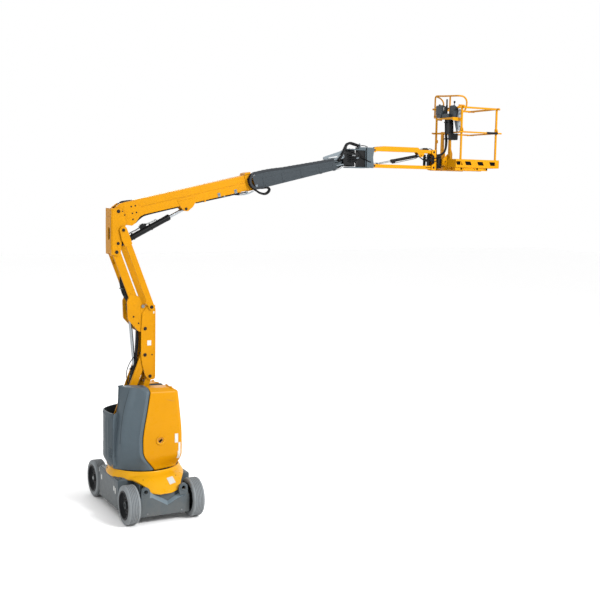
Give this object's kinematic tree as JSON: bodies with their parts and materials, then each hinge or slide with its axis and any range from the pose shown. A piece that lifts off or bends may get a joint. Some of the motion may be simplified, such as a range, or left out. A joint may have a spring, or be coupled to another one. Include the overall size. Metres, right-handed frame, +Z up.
{
  "type": "articulating boom lift",
  "caption": "Compact wheeled articulating boom lift: slewing turret, folding twin-arm riser, telescopic boom, swivelling jib and a levelled work basket.",
  "frame": {"origin": "point on the ground under the turret's slewing axis", "axes": "+X is the direction the boom reaches at rest and the longest extent, +Y runs along the chassis to its steered end, +Z is up"},
  "size_m": [7.155, 2.195, 6.7039],
  "materials": {
    "yellow": "gloss",
    "slate": "satin",
    "inner_steel": "satin",
    "black_paint": "satin",
    "cast": "rough",
    "bearing": "satin",
    "rod_chrome": "polished",
    "light_tyre": "matt",
    "black_plastic": "matt",
    "hoop": "gloss"
  },
  "bodies": {
    "chassis": {"chassis_frame": "slate", "chassis_ballast": "cast", "slew_ring": "bearing", "drive_beam": "slate", "drive_motors": "black_paint", "steer_beam": "slate", "turntable_skirt": "yellow"},
    "wheel_drive_left": {"tyre_drive_left": "light_tyre", "rim_drive_left": "black_paint"},
    "wheel_drive_right": {"tyre_drive_right": "light_tyre", "rim_drive_right": "black_paint"},
    "steering_knuckle_left": {"steering_knuckle_left": "black_paint"},
    "steering_knuckle_right": {"steering_knuckle_right": "black_paint"},
    "wheel_steer_left": {"tyre_steer_left": "light_tyre", "rim_steer_left": "black_paint"},
    "wheel_steer_right": {"tyre_steer_right": "light_tyre", "rim_steer_right": "black_paint"},
    "turret": {"turntable": "slate", "arm_tower": "slate", "cover_left": "slate", "cover_right": "slate", "rear_wall": "slate", "battery_pack": "black_plastic", "hydraulic_unit": "black_paint", "counterweight": "cast"},
    "door_left": {"door_left": "yellow"},
    "door_right": {"door_right": "yellow"},
    "lower_arm": {"lower_arm": "yellow"},
    "lower_tie": {"lower_tie": "yellow"},
    "middle_knuckle": {"middle_knuckle": "yellow"},
    "upper_arm": {"upper_arm": "yellow"},
    "upper_tie": {"upper_tie": "yellow"},
    "top_knuckle": {"top_knuckle": "yellow"},
    "riser_cylinder_barrel": {"riser_cylinder_barrel": "black_paint"},
    "riser_cylinder_rod": {"riser_cylinder_rod": "rod_chrome"},
    "outer_boom": {"outer_boom": "yellow"},
    "lift_cylinder_barrel": {"lift_cylinder_barrel": "black_paint"},
    "lift_cylinder_rod": {"lift_cylinder_rod": "rod_chrome"},
    "inner_boom": {"inner_boom": "inner_steel", "hose_chain": "black_plastic"},
    "boom_tip": {"boom_tip": "black_paint"},
    "jib_bracket": {"jib_bracket": "slate"},
    "jib_upper_arm": {"jib_upper_arm": "yellow"},
    "jib_lower_arm": {"jib_lower_arm": "yellow"},
    "jib_head": {"jib_head": "black_paint"},
    "jib_cylinder_barrel": {"jib_cylinder_barrel": "black_paint"},
    "jib_cylinder_rod": {"jib_cylinder_rod": "rod_chrome"},
    "basket": {"basket_support": "yellow", "basket_floor": "yellow", "basket_rails": "yellow", "control_console": "black_plastic", "guard_hoop": "hoop"},
    "entry_bar": {"entry_bar": "yellow"}
  },
  "joints": [
    {"name": "turret_slew", "type": "hinge", "parent": "chassis", "child": "turret", "pos_m": [0, 0, 0.64], "axis": [0, 0, 1], "range_deg": [-267.5, 87.5]},
    {"name": "drive_wheel_left_spin", "type": "hinge", "parent": "chassis", "child": "wheel_drive_left", "pos_m": [-0.507, -0.8025, 0.295], "axis": [1, 0, 0], "continuous": true},
    {"name": "steer_left", "type": "hinge", "parent": "chassis", "child": "steering_knuckle_left", "pos_m": [-0.487, 0.8025, 0.295], "axis": [0, 0, 1], "range_deg": [-25, 25]},
    {"name": "steer_wheel_left_spin", "type": "hinge", "parent": "steering_knuckle_left", "child": "wheel_steer_left", "pos_m": [-0.507, 0.8025, 0.295], "axis": [1, 0, 0], "continuous": true},
    {"name": "drive_wheel_right_spin", "type": "hinge", "parent": "chassis", "child": "wheel_drive_right", "pos_m": [0.507, -0.8025, 0.295], "axis": [1, 0, 0], "continuous": true},
    {"name": "steer_right", "type": "hinge", "parent": "chassis", "child": "steering_knuckle_right", "pos_m": [0.487, 0.8025, 0.295], "axis": [0, 0, 1], "range_deg": [-25, 25]},
    {"name": "steer_wheel_right_spin", "type": "hinge", "parent": "steering_knuckle_right", "child": "wheel_steer_right", "pos_m": [0.507, 0.8025, 0.295], "axis": [1, 0, 0], "continuous": true},
    {"name": "riser_lift", "type": "hinge", "parent": "turret", "child": "lower_arm", "pos_m": [-0.50684, 0, 1.17733], "axis": [0, -1, 0], "range_deg": [-72, 6]},
    {"name": "middle_knuckle_level", "type": "hinge", "parent": "lower_arm", "child": "middle_knuckle", "pos_m": [-0.031, 0, 2.43], "axis": [0, -1, 0], "range_deg": [-6.5, 72.5]},
    {"name": "upper_arm_fold", "type": "hinge", "parent": "middle_knuckle", "child": "upper_arm", "pos_m": [-0.028, 0, 2.84], "axis": [0, -1, 0], "range_deg": [-6.5, 72.5]},
    {"name": "top_knuckle_level", "type": "hinge", "parent": "upper_arm", "child": "top_knuckle", "pos_m": [-0.47934, 0, 4.02816], "axis": [0, -1, 0], "range_deg": [-72.5, 6.5]},
    {"name": "lower_tie_swing", "type": "hinge", "parent": "turret", "child": "lower_tie", "pos_m": [-0.42584, 0, 0.83733], "axis": [0, -1, 0], "range_deg": [-72.5, 6.5]},
    {"name": "upper_tie_swing", "type": "hinge", "parent": "middle_knuckle", "child": "upper_tie", "pos_m": [0.069, 0, 3.174], "axis": [0, -1, 0], "range_deg": [-6.5, 72.5]},
    {"name": "riser_cylinder_swing", "type": "hinge", "parent": "lower_arm", "child": "riser_cylinder_barrel", "pos_m": [-0.09, 0, 1.42], "axis": [0, -1, 0], "range_deg": [-1.7, 14.9]},
    {"name": "riser_cylinder_stroke", "type": "slide", "parent": "riser_cylinder_barrel", "child": "riser_cylinder_rod", "axis": [-0.0856, 0, 0.9963], "range_m": [-0.6974, 0.0673]},
    {"name": "boom_lift", "type": "hinge", "parent": "top_knuckle", "child": "outer_boom", "pos_m": [-0.449, 0, 4.644], "axis": [0, -1, 0], "range_deg": [-12.7, 55]},
    {"name": "lift_cylinder_swing", "type": "hinge", "parent": "top_knuckle", "child": "lift_cylinder_barrel", "pos_m": [-0.44, 0, 4.118], "axis": [0, -1, 0], "range_deg": [-9.96, 41.48]},
    {"name": "lift_cylinder_stroke", "type": "slide", "parent": "lift_cylinder_barrel", "child": "lift_cylinder_rod", "axis": [0.8879, 0, 0.4601], "range_m": [-0.0942, 0.3748]},
    {"name": "boom_extend", "type": "slide", "parent": "outer_boom", "child": "inner_boom", "axis": [0.9755, 0, 0.2198], "range_m": [-1.5, 0]},
    {"name": "tip_level", "type": "hinge", "parent": "inner_boom", "child": "boom_tip", "pos_m": [3.48, 0, 5.47], "axis": [0, -1, 0], "range_deg": [-55.5, 13.2]},
    {"name": "jib_swivel", "type": "hinge", "parent": "boom_tip", "child": "jib_bracket", "pos_m": [3.65, 0, 5.56], "axis": [0, 0, 1], "range_deg": [-65, 65]},
    {"name": "jib_lift", "type": "hinge", "parent": "jib_bracket", "child": "jib_upper_arm", "pos_m": [4.125, 0, 5.717], "axis": [0, -1, 0], "range_deg": [-58, 60]},
    {"name": "jib_lower_swing", "type": "hinge", "parent": "jib_bracket", "child": "jib_lower_arm", "pos_m": [4.125, 0, 5.446], "axis": [0, -1, 0], "range_deg": [-58.5, 60.5]},
    {"name": "jib_head_level", "type": "hinge", "parent": "jib_upper_arm", "child": "jib_head", "pos_m": [5.35, 0, 5.717], "axis": [0, -1, 0], "range_deg": [-60.5, 58.5]},
    {"name": "jib_cylinder_swing", "type": "hinge", "parent": "jib_upper_arm", "child": "jib_cylinder_barrel", "pos_m": [5.09, 0, 5.652], "axis": [0, -1, 0], "range_deg": [-1.08, 1.1]},
    {"name": "jib_cylinder_stroke", "type": "slide", "parent": "jib_cylinder_barrel", "child": "jib_cylinder_rod", "axis": [-0.9822, 0, -0.1877], "range_m": [-0.2094, 0.2163]},
    {"name": "basket_rotate", "type": "hinge", "parent": "jib_head", "child": "basket", "pos_m": [5.485, 0, 5.55], "axis": [0, 0, 1], "range_deg": [-75, 75]},
    {"name": "door_left_swing", "type": "hinge", "parent": "turret", "child": "door_left", "pos_m": [-0.2, -0.551, 1.2], "axis": [0, 0, 1], "range_deg": [-75, 0]},
    {"name": "door_right_swing", "type": "hinge", "parent": "turret", "child": "door_right", "pos_m": [-0.2, 0.551, 1.2], "axis": [0, 0, 1], "range_deg": [0, 75]},
    {"name": "entry_bar_lift", "type": "slide", "parent": "basket", "child": "entry_bar", "axis": [0, 0, 1], "range_m": [0, 0.3]}
  ],
  "couplings": [
    {"joint": "steer_right", "follows": "steer_left", "ratio": 1},
    {"joint": "middle_knuckle_level", "follows": "riser_lift", "ratio": -1},
    {"joint": "upper_arm_fold", "follows": "riser_lift", "ratio": -1},
    {"joint": "top_knuckle_level", "follows": "riser_lift", "ratio": 1},
    {"joint": "lower_tie_swing", "follows": "riser_lift", "ratio": 1},
    {"joint": "upper_tie_swing", "follows": "riser_lift", "ratio": -1},
    {"joint": "riser_cylinder_swing", "follows": "riser_lift", "ratio": -0.2},
    {"joint": "riser_cylinder_stroke", "follows": "riser_lift", "m_per_rad": 0.547},
    {"joint": "lift_cylinder_swing", "follows": "boom_lift", "ratio": 0.745},
    {"joint": "lift_cylinder_stroke", "follows": "boom_lift", "m_per_rad": 0.38},
    {"joint": "tip_level", "follows": "boom_lift", "ratio": -1},
    {"joint": "jib_lower_swing", "follows": "jib_lift", "ratio": 1},
    {"joint": "jib_head_level", "follows": "jib_lift", "ratio": -1},
    {"joint": "jib_cylinder_swing", "follows": "jib_lift", "ratio": 0.01},
    {"joint": "jib_cylinder_stroke", "follows": "jib_lift", "m_per_rad": 0.197}
  ]
}
